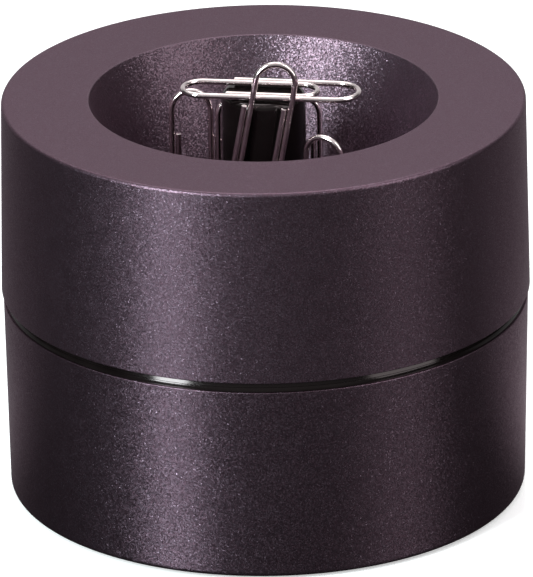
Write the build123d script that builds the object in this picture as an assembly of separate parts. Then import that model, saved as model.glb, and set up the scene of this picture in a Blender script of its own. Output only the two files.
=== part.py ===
"""Round desk holder for paper clips: a weighted two-part casing with a funnel bowl and a magnet post."""

import os
from math import cos, radians, sin, tan

from build123d import *

# Casing, outside form
casing_diameter = 73.0
holder_height = 56.7
draft_angle = 1.0
wall = 2.4
lower_rim_height = 27.9
gap_height = 1.4
lower_step_in = 0.25
top_edge_radius = 0.5
parting_edge_radius = 0.3
base_edge_radius = 0.8

# Bowl
bowl_mouth_diameter = 48.0
bowl_floor_diameter = 28.0
bowl_depth = 27.3
bowl_corner_radius = 4.0
mouth_edge_radius = 0.25
inside_corner_radius = 1.0

# Glossy ring that fills the gap between the casing halves
ring_recess = 1.15
ring_flare = 0.35
ring_bead_height = 0.6
ring_bead_ledge = 0.1
ring_bead_flare = 0.14
ring_bead_foot = 0.15
ring_sleeve_height = 3.0
ring_sleeve_wall = 2.0

# Magnet post
post_diameter = 11.6
post_stand_out = 1.0
post_shoulder_radius = 1.0
post_wall = 1.2
post_flange_diameter = 20.0
post_flange_thickness = 2.0
magnet_length = 28.0
magnet_edge = 0.4

# Retainer that closes the post from below
retainer_thickness = 2.0
retainer_screw_circle = 26.4
retainer_boss_diameter = 5.0
retainer_margin = 0.6

# Casing screws, their towers in the lower half and their bosses in the upper half
casing_screw_set_in = 9.0
casing_screw_start = 90.0
casing_boss_diameter = 6.6
casing_tower_diameter = 9.0
casing_joint_height = 20.0
casing_tower_ledge = 3.0

# Base weight and foot pad
weight_side_gap = 2.4
weight_thickness = 3.0
weight_edge = 0.4
weight_screw_circle = 30.0
weight_boss_diameter = 6.0
inner_screw_start = 30.0
pad_rim_width = 2.8
pad_thickness = 2.0
pad_stand_out = 0.4
pad_edge_radius = 0.5

# Screws: the grip is the length of thread beyond the clamped parts
screws_per_set = 3
casing_shank = 3.0
casing_grip = 6.0
casing_head = 5.6
casing_head_height = 2.2
retainer_shank = 2.2
retainer_grip = 2.8
retainer_head = 4.2
retainer_head_height = 1.6
weight_shank = 2.6
weight_grip = 3.2
weight_head = 8.0
weight_head_height = 2.0
recess_width = 0.7
recess_share = 0.7
dome_share = 0.35
quarter_turn = 90.0

# Paper clip wire form
clip_length = 25.0
clip_width = 7.1
clip_wire = 0.8
clip_leg_pitch = 0.9
clip_inner_set_back = 5.7
clip_inner_leg_short = 6.6
clip_outer_leg_short = 7.0

# Clearances
screw_gap = 0.05
close_gap = 0.05
locating_gap = 0.2
tower_gap = 0.5
hold_gap = 0.2

# Where the clips cling: offsets from the post and the bowl floor, and leans in degrees
flat_clip_offset = (1.05, -1.45)
flat_clip_turn = 7.6
front_clip_offset = -0.46
front_clip_drop = 5.7
front_clip_lean = 10.2
left_clip_offset = -9.55
left_clip_lift = 0.6
back_clip_offset = -3.12
right_clip_offset = 4.55
leaning_clip_foot = (6.5, -7.9)
leaning_clip_lean = 5.0
leaning_clip_heading = -48.6
leaning_clip_turn = -28.0

# Levels and radii that follow from the sizes above
upper_rim_height = lower_rim_height + gap_height
upper_low_radius = casing_diameter / 2
lower_top_radius = upper_low_radius - lower_step_in
bowl_mouth_radius = bowl_mouth_diameter / 2
bowl_floor_radius = bowl_floor_diameter / 2
bowl_floor_height = holder_height - bowl_depth
bowl_slope = (bowl_mouth_radius - bowl_floor_radius) / bowl_depth
bowl_wall_across = wall * (1 + bowl_slope**2) ** 0.5
bowl_under_height = bowl_floor_height - wall
post_radius = post_diameter / 2
post_top_height = holder_height + post_stand_out
flange_under_height = bowl_under_height - post_flange_thickness
retainer_under_height = flange_under_height - retainer_thickness
magnet_radius = post_radius - post_wall - close_gap
magnet_top_height = post_top_height - post_wall - close_gap
pad_recess_height = pad_thickness
lower_floor_height = pad_recess_height + wall
casing_screw_circle = casing_diameter - 2 * casing_screw_set_in
clip_wire_radius = clip_wire / 2
clip_leg_reach = (clip_width - clip_wire) / 2
screw_turns = [360 / screws_per_set * index for index in range(screws_per_set)]


def turned(outline, rounds=()):
    """Revolve an outline of (radius, height) points about Z, with the named corners rounded."""
    face = make_face(Polyline(*outline, close=True))
    for corner, radius in rounds:
        face = fillet(face.vertices().sort_by_distance(corner)[0], radius)
    return revolve(Plane.XZ * face, Axis.Z)


def column(radius, low, high):
    """Upright cylinder on the Z axis between two heights."""
    return Pos(0, 0, low) * Cylinder(radius, high - low, align=(Align.CENTER, Align.CENTER, Align.MIN))


def around(shape, circle, start):
    """Copies of a shape spaced evenly on a circle about Z, the first one at the start angle."""
    return [Rot(0, 0, start + turn) * Pos(circle / 2, 0, 0) * shape for turn in screw_turns]


def drafted_radius(radius, rise):
    """Radius of a drafted casing wall at a distance from its widest edge."""
    return radius - rise * tan(radians(draft_angle))


def bowl_radius(height):
    """Radius of the straight bowl cone at a height."""
    return bowl_mouth_radius - (holder_height - height) * bowl_slope


def base_radius():
    """Outer radius of the lower casing at its bottom edge."""
    return drafted_radius(lower_top_radius, lower_rim_height - pad_stand_out)


def upper_casing():
    """Outer skirt, flat top ring and bowl in one moulding, with screw bosses underneath."""
    ceiling = holder_height - wall
    top_radius = drafted_radius(upper_low_radius, holder_height - upper_rim_height)
    skirt_top = drafted_radius(upper_low_radius, ceiling - upper_rim_height) - wall
    bowl_under_corner = (bowl_radius(bowl_under_height) + bowl_wall_across, bowl_under_height)
    bowl_ceiling = (bowl_radius(ceiling) + bowl_wall_across, ceiling)
    hole = post_radius + close_gap
    outline = [
        (upper_low_radius - wall, upper_rim_height),
        (upper_low_radius, upper_rim_height),
        (top_radius, holder_height),
        (bowl_mouth_radius, holder_height),
        (bowl_floor_radius, bowl_floor_height),
        (hole, bowl_floor_height),
        (hole, bowl_under_height),
        bowl_under_corner,
        bowl_ceiling,
        (skirt_top, ceiling),
    ]
    rounds = [
        ((upper_low_radius, upper_rim_height), parting_edge_radius),
        ((top_radius, holder_height), top_edge_radius),
        ((bowl_mouth_radius, holder_height), mouth_edge_radius),
        ((bowl_floor_radius, bowl_floor_height), bowl_corner_radius),
        (bowl_under_corner, bowl_corner_radius + wall),
        (bowl_ceiling, inside_corner_radius),
        ((skirt_top, ceiling), inside_corner_radius),
    ]
    body = turned(outline, rounds)
    boss = column(casing_boss_diameter / 2, casing_joint_height, ceiling + wall / 2)
    pilot_top = casing_joint_height + casing_grip + locating_gap
    pilot = column(casing_shank / 2 + screw_gap, casing_joint_height, pilot_top)
    small_boss = column(retainer_boss_diameter / 2, flange_under_height, bowl_under_height + wall / 2)
    small_top = flange_under_height + retainer_grip + locating_gap
    small_pilot = column(retainer_shank / 2 + screw_gap, flange_under_height, small_top)
    body += around(boss, casing_screw_circle, casing_screw_start)
    body += around(small_boss, retainer_screw_circle, inner_screw_start)
    body -= around(pilot, casing_screw_circle, casing_screw_start)
    body -= around(small_pilot, retainer_screw_circle, inner_screw_start)
    return body


def gap_ring():
    """Flared band over a small bead between the halves, with sleeves that register in both of them."""
    band_top = upper_low_radius - ring_recess
    band_foot = band_top + ring_flare
    bead_top = band_foot + ring_bead_ledge
    bead_foot = bead_top + ring_bead_flare
    bead_height = lower_rim_height + ring_bead_height
    upper_sleeve = upper_low_radius - wall - locating_gap
    lower_sleeve = lower_top_radius - wall - locating_gap
    inside = lower_sleeve - ring_sleeve_wall
    outline = [
        (inside, lower_rim_height - ring_sleeve_height),
        (lower_sleeve, lower_rim_height - ring_sleeve_height),
        (lower_sleeve, lower_rim_height),
        (bead_foot, lower_rim_height),
        (bead_foot, lower_rim_height + ring_bead_foot),
        (bead_top, bead_height),
        (band_foot, bead_height),
        (band_top, upper_rim_height),
        (upper_sleeve, upper_rim_height),
        (upper_sleeve, upper_rim_height + ring_sleeve_height),
        (inside, upper_rim_height + ring_sleeve_height),
    ]
    return turned(outline)


def lower_casing():
    """Cup with a recess for the foot pad, screw towers and bosses for the base weight."""
    floor_corner = (base_radius() - wall, lower_floor_height)
    recess = base_radius() - pad_rim_width
    outline = [
        (0, pad_recess_height),
        (recess, pad_recess_height),
        (recess, pad_stand_out),
        (base_radius(), pad_stand_out),
        (lower_top_radius, lower_rim_height),
        (lower_top_radius - wall, lower_rim_height),
        floor_corner,
        (0, lower_floor_height),
    ]
    rounds = [
        ((base_radius(), pad_stand_out), base_edge_radius),
        ((lower_top_radius, lower_rim_height), parting_edge_radius),
        (floor_corner, inside_corner_radius),
    ]
    body = turned(outline, rounds)
    middle_of_floor = pad_recess_height + wall / 2
    tower = column(casing_tower_diameter / 2, middle_of_floor, casing_joint_height)
    seat = casing_joint_height - casing_tower_ledge
    well = column(casing_head / 2 + locating_gap, pad_recess_height, seat)
    hole = column(casing_shank / 2 + screw_gap, seat, casing_joint_height)
    boss_top = lower_floor_height + weight_thickness
    boss = column(weight_boss_diameter / 2, middle_of_floor, boss_top)
    pilot = column(weight_shank / 2 + screw_gap, boss_top - weight_grip - locating_gap, boss_top)
    body += around(tower, casing_screw_circle, casing_screw_start)
    body += around(boss, weight_screw_circle, inner_screw_start)
    body -= around(well, casing_screw_circle, casing_screw_start)
    body -= around(hole, casing_screw_circle, casing_screw_start)
    body -= around(pilot, weight_screw_circle, inner_screw_start)
    return body


def post_sleeve():
    """Closed glossy tube with a rounded top and a flange that seats under the bowl floor."""
    flange = post_flange_diameter / 2
    bore = post_radius - post_wall
    bore_top = post_top_height - post_wall
    outline = [
        (bore, flange_under_height),
        (flange, flange_under_height),
        (flange, bowl_under_height),
        (post_radius, bowl_under_height),
        (post_radius, post_top_height),
        (0, post_top_height),
        (0, bore_top),
        (bore, bore_top),
    ]
    return turned(outline, [((post_radius, post_top_height), post_shoulder_radius)])


def rod_magnet():
    """Round bar magnet that fills the top of the post."""
    rod = column(magnet_radius, magnet_top_height - magnet_length, magnet_top_height)
    return chamfer(rod.edges().filter_by(GeomType.CIRCLE), magnet_edge)


def magnet_retainer():
    """Disc and spigot that hold the magnet up and clamp the flange of the post."""
    disc_radius = (retainer_screw_circle + retainer_boss_diameter) / 2 + retainer_margin
    disc = column(disc_radius, retainer_under_height, flange_under_height)
    spigot_top = magnet_top_height - magnet_length - close_gap
    spigot = column(magnet_radius, flange_under_height - retainer_thickness / 2, spigot_top)
    hole = column(retainer_shank / 2 + screw_gap, retainer_under_height, flange_under_height)
    return disc + spigot - around(hole, retainer_screw_circle, inner_screw_start)


def base_weight():
    """Steel disc on the floor of the lower casing, pierced for the towers and bosses."""
    top = lower_floor_height + weight_thickness
    radius = base_radius() - wall - weight_side_gap
    disc = column(radius, lower_floor_height, top)
    disc = chamfer(disc.edges().filter_by(GeomType.CIRCLE), weight_edge)
    tower_hole = column(casing_tower_diameter / 2 + tower_gap, lower_floor_height, top)
    boss_hole = column(weight_boss_diameter / 2 + locating_gap, lower_floor_height, top)
    disc -= around(tower_hole, casing_screw_circle, casing_screw_start)
    return disc - around(boss_hole, weight_screw_circle, inner_screw_start)


def foot_pad():
    """Soft disc in the recess under the casing, standing a little proud of it."""
    pad = column(base_radius() - pad_rim_width - locating_gap, 0, pad_thickness)
    return fillet(pad.edges().group_by(Axis.Z)[0], pad_edge_radius)


def pan_screw(shank, length, head, head_height):
    """Pan-head screw with a cross recess: seat at the origin, shank down, head up."""
    low = column(shank / 2, -length, 0)
    dome = column(head / 2, 0, head_height)
    dome = fillet(dome.edges().group_by(Axis.Z)[-1], head_height * dome_share)
    slot = Box(head * recess_share, recess_width, head_height)
    cross = Pos(0, 0, head_height) * (slot + Rot(0, 0, quarter_turn) * slot)
    return low + dome - cross


def screw_set(screw, height, circle, start, head_down=False):
    """Set of like screws on a circle, seated at a height."""
    upright = Rot(180, 0, 0) * screw if head_down else screw
    return Compound(children=[*around(Pos(0, 0, height) * upright, circle, start)])


def casing_screws():
    """Screws up the towers of the lower casing into the bosses of the upper casing."""
    screw = pan_screw(casing_shank, casing_tower_ledge + casing_grip, casing_head, casing_head_height)
    seat = casing_joint_height - casing_tower_ledge
    return screw_set(screw, seat, casing_screw_circle, casing_screw_start, head_down=True)


def retainer_screws():
    """Screws through the retainer into the bosses under the bowl."""
    length = retainer_thickness + retainer_grip
    screw = pan_screw(retainer_shank, length, retainer_head, retainer_head_height)
    return screw_set(screw, retainer_under_height, retainer_screw_circle, inner_screw_start, head_down=True)


def weight_screws():
    """Wide-headed screws that hold the base weight down on its bosses."""
    screw = pan_screw(weight_shank, weight_grip, weight_head, weight_head_height)
    return screw_set(screw, lower_floor_height + weight_thickness, weight_screw_circle, inner_screw_start)


def half_turn(start, end, bulge):
    """Half circle from start to end in the XZ plane that bulges up (1) or down (-1)."""
    reach = abs(end[0] - start[0]) / 2
    middle = ((start[0] + end[0]) / 2, 0, start[2] + bulge * reach)
    return ThreePointArc(start, middle, end)


def paper_clip():
    """Looped wire clip centred on the origin: single bend up, double bend down, full leg at +X."""
    top = clip_length / 2 - clip_wire_radius
    inner = clip_leg_reach - clip_leg_pitch
    single_bend = top - (clip_leg_reach + inner) / 2
    outer_bend = clip_leg_reach - top
    inner_bend = clip_inner_set_back + inner - top
    knots = [
        (inner, 0, clip_length / 2 - clip_inner_leg_short),
        (inner, 0, inner_bend),
        (-inner, 0, inner_bend),
        (-inner, 0, single_bend),
        (clip_leg_reach, 0, single_bend),
        (clip_leg_reach, 0, outer_bend),
        (-clip_leg_reach, 0, outer_bend),
        (-clip_leg_reach, 0, clip_length / 2 - clip_outer_leg_short),
    ]
    path = Wire(
        [
            Line(knots[0], knots[1]),
            half_turn(knots[1], knots[2], -1),
            Line(knots[2], knots[3]),
            half_turn(knots[3], knots[4], 1),
            Line(knots[4], knots[5]),
            half_turn(knots[5], knots[6], -1),
            Line(knots[6], knots[7]),
        ]
    )
    section = Plane(origin=knots[0], z_dir=(0, 0, -1)) * Circle(clip_wire_radius)
    return sweep(section, path=path)


def clip_planes():
    """Resting place of each clip: its middle, its full leg's side and the way its single bend points."""
    beside_post = post_radius + clip_wire_radius + hold_gap
    stand = bowl_floor_height + hold_gap + clip_length / 2
    turn = radians(flat_clip_turn)
    lean = radians(front_clip_lean)
    flat_height = post_top_height + hold_gap + clip_wire_radius
    out = radians(leaning_clip_heading)
    tilt = radians(leaning_clip_lean)
    side = radians(leaning_clip_turn)
    leaning_way = Vector(sin(tilt) * cos(out), sin(tilt) * sin(out), cos(tilt))
    foot = Vector(*leaning_clip_foot, bowl_floor_height + hold_gap + clip_leg_reach * sin(tilt))
    up = (0, 0, 1)
    return {
        "clip_across_top": Plane(
            (*flat_clip_offset, flat_height), (-sin(turn), -cos(turn), 0), (-cos(turn), sin(turn), 0)
        ),
        "clip_front": Plane(
            (front_clip_offset, -beside_post, post_top_height - front_clip_drop),
            (cos(lean), 0, -sin(lean)),
            (sin(lean), 0, cos(lean)),
        ),
        "clip_left": Plane(
            (left_clip_offset, beside_post + clip_wire + hold_gap, stand + left_clip_lift), (-1, 0, 0), up
        ),
        "clip_back_left": Plane((back_clip_offset, beside_post, stand), (-1, 0, 0), up),
        "clip_back_right": Plane((right_clip_offset, beside_post, stand), (1, 0, 0), up),
        "clip_leaning": Plane(
            foot + leaning_way * (clip_length / 2), (cos(side), sin(side), 0), leaning_way
        ),
    }


def all_parts():
    """Every node of the holder by name."""
    parts = {
        "upper_casing": upper_casing(),
        "gap_ring": gap_ring(),
        "lower_casing": lower_casing(),
        "post_sleeve": post_sleeve(),
        "rod_magnet": rod_magnet(),
        "magnet_retainer": magnet_retainer(),
        "retainer_screws": retainer_screws(),
        "base_weight": base_weight(),
        "weight_screws": weight_screws(),
        "casing_screws": casing_screws(),
        "foot_pad": foot_pad(),
    }
    clip = paper_clip()
    for name, plane in clip_planes().items():
        parts[name] = plane * clip
    return parts


os.makedirs("parts", exist_ok=True)
for node_name, part in all_parts().items():
    export_step(part, f"parts/{node_name}.step")
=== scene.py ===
"""Dressed model of a round desk holder for paper clips, with its studio and camera.

Turned pieces and wire clips are made by Geometry Nodes from short outlines and paths, in metres, in the
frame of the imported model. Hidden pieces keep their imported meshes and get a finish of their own.
"""

import logging
from dataclasses import dataclass, field
from enum import Enum
from math import acos, cos, pi, radians, sin, tan
from typing import Any

import bpy
from mathutils import Matrix, Vector


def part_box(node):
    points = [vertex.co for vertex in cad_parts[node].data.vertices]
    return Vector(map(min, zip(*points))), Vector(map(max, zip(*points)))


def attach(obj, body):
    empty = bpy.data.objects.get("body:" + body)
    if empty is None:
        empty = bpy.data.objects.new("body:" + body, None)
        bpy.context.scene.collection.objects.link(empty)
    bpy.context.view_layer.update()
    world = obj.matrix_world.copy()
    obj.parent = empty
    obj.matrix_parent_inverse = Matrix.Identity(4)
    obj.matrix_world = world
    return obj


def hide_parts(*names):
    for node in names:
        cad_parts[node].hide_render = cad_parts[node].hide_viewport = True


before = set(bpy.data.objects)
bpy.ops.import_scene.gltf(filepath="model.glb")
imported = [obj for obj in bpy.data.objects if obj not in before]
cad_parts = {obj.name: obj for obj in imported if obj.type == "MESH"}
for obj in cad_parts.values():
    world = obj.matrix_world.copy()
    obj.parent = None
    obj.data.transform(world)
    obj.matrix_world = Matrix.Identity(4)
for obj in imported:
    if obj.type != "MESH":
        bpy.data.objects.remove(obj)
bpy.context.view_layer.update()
LOG = logging.getLogger("clip_holder")
MM_PER_METRE = 1000.0
WHITE = (1.0, 1.0, 1.0, 1.0)

Colour = tuple[float, float, float, float]
Outline = list[tuple[float, float]]
Round = tuple[tuple[float, float], float]


class Slot(Enum):
    """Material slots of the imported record."""

    SPARKLE_PLASTIC = "sparkle_plastic"
    GLOSS_PLASTIC = "gloss_plastic"
    INNER_PLASTIC = "inner_plastic"
    MAGNET = "magnet"
    BASE_STEEL = "base_steel"
    SCREW_STEEL = "screw_steel"
    CLIP_STEEL = "clip_steel"
    PAD_RUBBER = "pad_rubber"


class Ray(Enum):
    """Outputs of the Light Path node that the studio tells apart."""

    CAMERA = "Is Camera Ray"
    GLOSSY = "Is Glossy Ray"
    TRANSMISSION = "Is Transmission Ray"


class NodeSheet:
    """A node tree under construction, with short calls for placing, setting and joining nodes."""

    colour_mix_inputs: tuple[int, int] = (6, 7)
    colour_mix_output: int = 2

    def __init__(self, tree: bpy.types.NodeTree) -> None:
        """Keep the tree that the calls work on."""
        self.tree = tree

    def place(self, kind: str, feeds: dict[Any, Any] | None = None, **settings: Any) -> bpy.types.Node:
        """Add a node.

        Args:
            kind: Blender's name for the node type.
            feeds: Value or source socket for each input, by the input's name or number.
            **settings: Properties of the node itself.

        Returns:
            The new node.
        """
        node = self.tree.nodes.new(kind)
        for name, value in settings.items():
            setattr(node, name, value)
        for name, value in (feeds or {}).items():
            self.feed(node.inputs[name], value)
        return node

    def feed(self, target: bpy.types.NodeSocket, value: Any) -> None:
        """Join a source socket to an input, or set the input's own value.

        Args:
            target: The input.
            value: Source socket, or plain value.
        """
        if isinstance(value, bpy.types.NodeSocket):
            self.tree.links.new(value, target)
        else:
            target.default_value = value

    def reckon(self, operation: str, first: Any, second: Any = 0.0) -> bpy.types.NodeSocket:
        """Place a Math node and give its result."""
        return self.place("ShaderNodeMath", {0: first, 1: second}, operation=operation).outputs[0]

    def ramp(self, value: Any, start: Any, end: Any, low: Any, high: Any) -> bpy.types.NodeSocket:
        """Value that goes from low to high while another goes from start to end."""
        feeds = {"Value": value, "From Min": start, "From Max": end, "To Min": low, "To Max": high}
        return self.place("ShaderNodeMapRange", feeds).outputs[0]

    def mixed(self, share: Any, low: Colour, high: Colour) -> bpy.types.NodeSocket:
        """Colour that goes from low to high with a share from zero to one.

        Args:
            share: Share of the second colour.
            low: The first colour.
            high: The second colour.

        Returns:
            Socket with the colour.
        """
        first, second = self.colour_mix_inputs
        mix = self.place("ShaderNodeMix", {"Factor": share, first: low, second: high}, data_type="RGBA")
        return mix.outputs[self.colour_mix_output]


def named_sockets(tree: bpy.types.NodeTree, inputs: dict[str, str], outputs: dict[str, str]) -> None:
    """Args:
        tree: The group's node tree.
        inputs: Socket type for each input name.
        outputs: Socket type for each output name.
    """
    for name, kind in inputs.items():
        tree.interface.new_socket(name, in_out="INPUT", socket_type=kind)
    for name, kind in outputs.items():
        tree.interface.new_socket(name, in_out="OUTPUT", socket_type=kind)


@dataclass(frozen=True)
class HolderSizes:
    """Driving sizes of the holder in metres and degrees, and the count of screws in a set."""

    casing_diameter: float = 0.0730
    holder_height: float = 0.0567
    draft_angle: float = 1.0
    wall: float = 0.0024
    lower_rim_height: float = 0.0279
    gap_height: float = 0.0014
    lower_step_in: float = 0.00025
    top_edge_radius: float = 0.0005
    parting_edge_radius: float = 0.00012
    base_edge_radius: float = 0.0008
    inside_corner_radius: float = 0.0010
    bowl_mouth_diameter: float = 0.0480
    bowl_floor_diameter: float = 0.0280
    bowl_depth: float = 0.0273
    bowl_corner_radius: float = 0.0040
    mouth_edge_radius: float = 0.00025
    post_diameter: float = 0.0116
    post_stand_out: float = 0.0010
    post_flange_thickness: float = 0.0020
    pad_thickness: float = 0.0020
    pad_stand_out: float = 0.0004
    pad_rim_width: float = 0.0028
    close_gap: float = 0.00005
    locating_gap: float = 0.0002
    screw_gap: float = 0.00005
    screws_per_set: int = 3

    @property
    def upper_rim_height(self) -> float:
        """Height of the upper casing's lower edge."""
        return self.lower_rim_height + self.gap_height

    @property
    def upper_low_radius(self) -> float:
        """Radius of the upper casing at its lower edge."""
        return self.casing_diameter / 2

    @property
    def lower_top_radius(self) -> float:
        """Radius of the lower casing at its upper edge."""
        return self.upper_low_radius - self.lower_step_in

    @property
    def base_radius(self) -> float:
        """Radius of the lower casing at its bottom edge."""
        return self.drafted(self.lower_top_radius, self.lower_rim_height - self.pad_stand_out)

    @property
    def ceiling_height(self) -> float:
        """Height of the underside of the flat top ring."""
        return self.holder_height - self.wall

    @property
    def bowl_floor_height(self) -> float:
        """Height of the bowl's floor."""
        return self.holder_height - self.bowl_depth

    @property
    def bowl_under_height(self) -> float:
        """Height of the underside of the bowl's floor."""
        return self.bowl_floor_height - self.wall

    @property
    def flange_under_height(self) -> float:
        """Height of the underside of the post's flange."""
        return self.bowl_under_height - self.post_flange_thickness

    @property
    def bowl_slope(self) -> float:
        """Run of the bowl's cone for each unit of height."""
        return (self.bowl_mouth_diameter - self.bowl_floor_diameter) / 2 / self.bowl_depth

    @property
    def post_top_height(self) -> float:
        """Height of the top of the post."""
        return self.holder_height + self.post_stand_out

    @property
    def lower_floor_height(self) -> float:
        """Height of the inside floor of the lower casing."""
        return self.pad_thickness + self.wall

    def drafted(self, radius: float, rise: float) -> float:
        """Radius of a drafted wall at a distance from its widest edge."""
        return radius - rise * tan(radians(self.draft_angle))

    def bowl_radius(self, height: float) -> float:
        """Radius of the straight bowl cone at a height."""
        return self.bowl_mouth_diameter / 2 - (self.holder_height - height) * self.bowl_slope


@dataclass(frozen=True)
class OutlineMaker:
    """Turns a corner list into a closed outline with rounded corners and guard points beside them."""

    arc_steps: int = 10
    least_angle: float = 1.0
    guard: float = 0.00012
    guards_in_long_run: float = 4.0

    def arc(self, before: Vector, corner: Vector, after: Vector, radius: float) -> list[Vector]:
        """Points of the round that replaces a corner.

        Args:
            before: The corner before it.
            corner: The corner to round.
            after: The corner after it.
            radius: Radius of the round, or zero for a sharp corner.

        Returns:
            The points of the round, or the sharp corner alone.
        """
        back = (before - corner).normalized()
        ahead = (after - corner).normalized()
        half = acos(max(-1.0, min(1.0, back.dot(ahead)))) / 2
        if radius <= 0 or half < radians(self.least_angle):
            return [corner]
        centre = corner + (back + ahead).normalized() * (radius / sin(half))
        start = corner + back * (radius / tan(half)) - centre
        end = corner + ahead * (radius / tan(half)) - centre
        sweep = pi - 2 * half
        points = []
        for step in range(self.arc_steps + 1):
            share = step / self.arc_steps
            blend = start * sin((1 - share) * sweep) + end * sin(share * sweep)
            points.append(centre + blend / sin(sweep))
        return points

    def guarded(self, points: list[Vector]) -> list[Vector]:
        """Add a point near both ends of each long straight run, so that its shading stays flat.

        Args:
            points: Points of a closed outline.

        Returns:
            The points with their guards.
        """
        result = []
        for start, end in zip(points, points[1:] + points[:1]):
            result.append(start)
            run = end - start
            if run.length > self.guards_in_long_run * self.guard:
                result.append(start + run.normalized() * self.guard)
                result.append(end - run.normalized() * self.guard)
        return result

    def closed(self, corners: Outline, rounds: list[Round]) -> Outline:
        """Closed outline through the corners.

        Args:
            corners: Corners as (radius, height), in order.
            rounds: Corner and radius of each rounded corner.

        Returns:
            The outline's points, the first one repeated at the end.
        """
        radii = dict(rounds)
        knots = [Vector(corner) for corner in corners]
        points: list[Vector] = []
        for index, corner in enumerate(corners):
            after = knots[(index + 1) % len(knots)]
            points += self.arc(knots[index - 1], knots[index], after, radii.get(corner, 0.0))
        path = [(point.x, point.y) for point in self.guarded(points)]
        return path + path[:1]


class TreeMaker:
    """Builds the Geometry Nodes trees that the pieces share, and runs them into plain meshes."""

    merge_distance: float = 1e-7
    crease_angle: float = 32.0
    cut_end_share: float = 0.72

    def __init__(self) -> None:
        """Build each tree once."""
        self.turned_tree = self._turned()
        self.ring_tree = self._ring_of_copies()
        self.wire_tree = self._bent_wire()

    def _start(self, name: str, inputs: dict[str, str]) -> tuple[NodeSheet, bpy.types.Node]:
        """New tree with a geometry input and output and the named inputs.

        Args:
            name: Name of the tree.
            inputs: Socket type for each further input.

        Returns:
            The sheet to build on, and its input node.
        """
        tree = bpy.data.node_groups.new(name, "GeometryNodeTree")
        geometry = "NodeSocketGeometry"
        all_inputs = {"Shape": geometry, **inputs, "Finish": "NodeSocketMaterial"}
        named_sockets(tree, all_inputs, {"Piece": geometry})
        sheet = NodeSheet(tree)
        return sheet, sheet.place("NodeGroupInput")

    def _end(
        self, sheet: NodeSheet, shape: bpy.types.NodeSocket, given: bpy.types.Node
    ) -> bpy.types.NodeTree:
        """Smooth the shape between its creases, realize it, give it its finish and close the tree.

        Args:
            sheet: The sheet being built.
            shape: Socket with the shape.
            given: The tree's input node.

        Returns:
            The finished tree.
        """
        angle = sheet.place("GeometryNodeInputMeshEdgeAngle").outputs["Unsigned Angle"]
        sharp = sheet.reckon("GREATER_THAN", angle, radians(self.crease_angle))
        marked = sheet.place(
            "GeometryNodeStoreNamedAttribute",
            {"Geometry": shape, "Name": "sharp_edge", "Value": sharp},
            data_type="BOOLEAN",
            domain="EDGE",
        )
        smooth = sheet.place("GeometryNodeSetShadeSmooth", {0: marked.outputs[0]})
        real = sheet.place("GeometryNodeRealizeInstances", {0: smooth.outputs[0]})
        dressed = sheet.place(
            "GeometryNodeSetMaterial",
            {"Geometry": real.outputs[0], "Material": given.outputs["Finish"]},
        )
        sheet.place("NodeGroupOutput", {0: dressed.outputs[0]})
        return sheet.tree

    def _turned(self) -> bpy.types.NodeTree:
        """Tree that turns an outline in the XZ plane about Z.

        Returns:
            The finished tree.
        """
        sheet, given = self._start("turned_piece", {"Segments": "NodeSocketInt"})
        outline, segments = given.outputs["Shape"], given.outputs["Segments"]
        stations = sheet.place("GeometryNodeAttributeDomainSize", {0: outline}).outputs["Point Count"]
        rows = sheet.reckon("ADD", segments, 1.0)
        grid = sheet.place("GeometryNodeMeshGrid", {"Vertices X": rows, "Vertices Y": stations})
        index = sheet.place("GeometryNodeInputIndex").outputs[0]
        row = sheet.reckon("FLOOR", sheet.reckon("DIVIDE", index, stations))
        station = sheet.reckon("SUBTRACT", index, sheet.reckon("MULTIPLY", row, stations))
        position = sheet.place("GeometryNodeInputPosition").outputs[0]
        sample = sheet.place(
            "GeometryNodeSampleIndex",
            {"Geometry": outline, "Value": position, "Index": station},
            data_type="FLOAT_VECTOR",
        )
        parts = sheet.place("ShaderNodeSeparateXYZ", {0: sample.outputs[0]})
        angle = sheet.reckon("DIVIDE", sheet.reckon("MULTIPLY", row, 2 * pi), segments)
        across = sheet.reckon("MULTIPLY", parts.outputs["X"], sheet.reckon("COSINE", angle))
        along = sheet.reckon("MULTIPLY", parts.outputs["X"], sheet.reckon("SINE", angle))
        place = sheet.place("ShaderNodeCombineXYZ", {"X": across, "Y": along, "Z": parts.outputs["Z"]})
        wound = sheet.place(
            "GeometryNodeSetPosition",
            {"Geometry": grid.outputs["Mesh"], "Position": place.outputs[0]},
        )
        closed = sheet.place(
            "GeometryNodeMergeByDistance",
            {"Geometry": wound.outputs[0], "Distance": self.merge_distance},
        )
        return self._end(sheet, closed.outputs[0], given)

    def _ring_of_copies(self) -> bpy.types.NodeTree:
        """Tree that repeats a shape on a circle about Z.

        Returns:
            The finished tree.
        """
        number = "NodeSocketFloat"
        inputs = {"Count": "NodeSocketInt", "Circle Radius": number, "Start Angle": number}
        sheet, given = self._start("ring_of_copies", inputs)
        circle = sheet.place(
            "GeometryNodeMeshCircle",
            {"Vertices": given.outputs["Count"], "Radius": given.outputs["Circle Radius"]},
        )
        turn = sheet.place("ShaderNodeCombineXYZ", {"Z": given.outputs["Start Angle"]})
        turned = sheet.place(
            "GeometryNodeTransform", {"Geometry": circle.outputs[0], "Rotation": turn.outputs[0]}
        )
        copies = sheet.place(
            "GeometryNodeInstanceOnPoints",
            {"Points": turned.outputs[0], "Instance": given.outputs["Shape"]},
        )
        real = sheet.place("GeometryNodeRealizeInstances", {0: copies.outputs[0]})
        return self._end(sheet, real.outputs[0], given)

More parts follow.
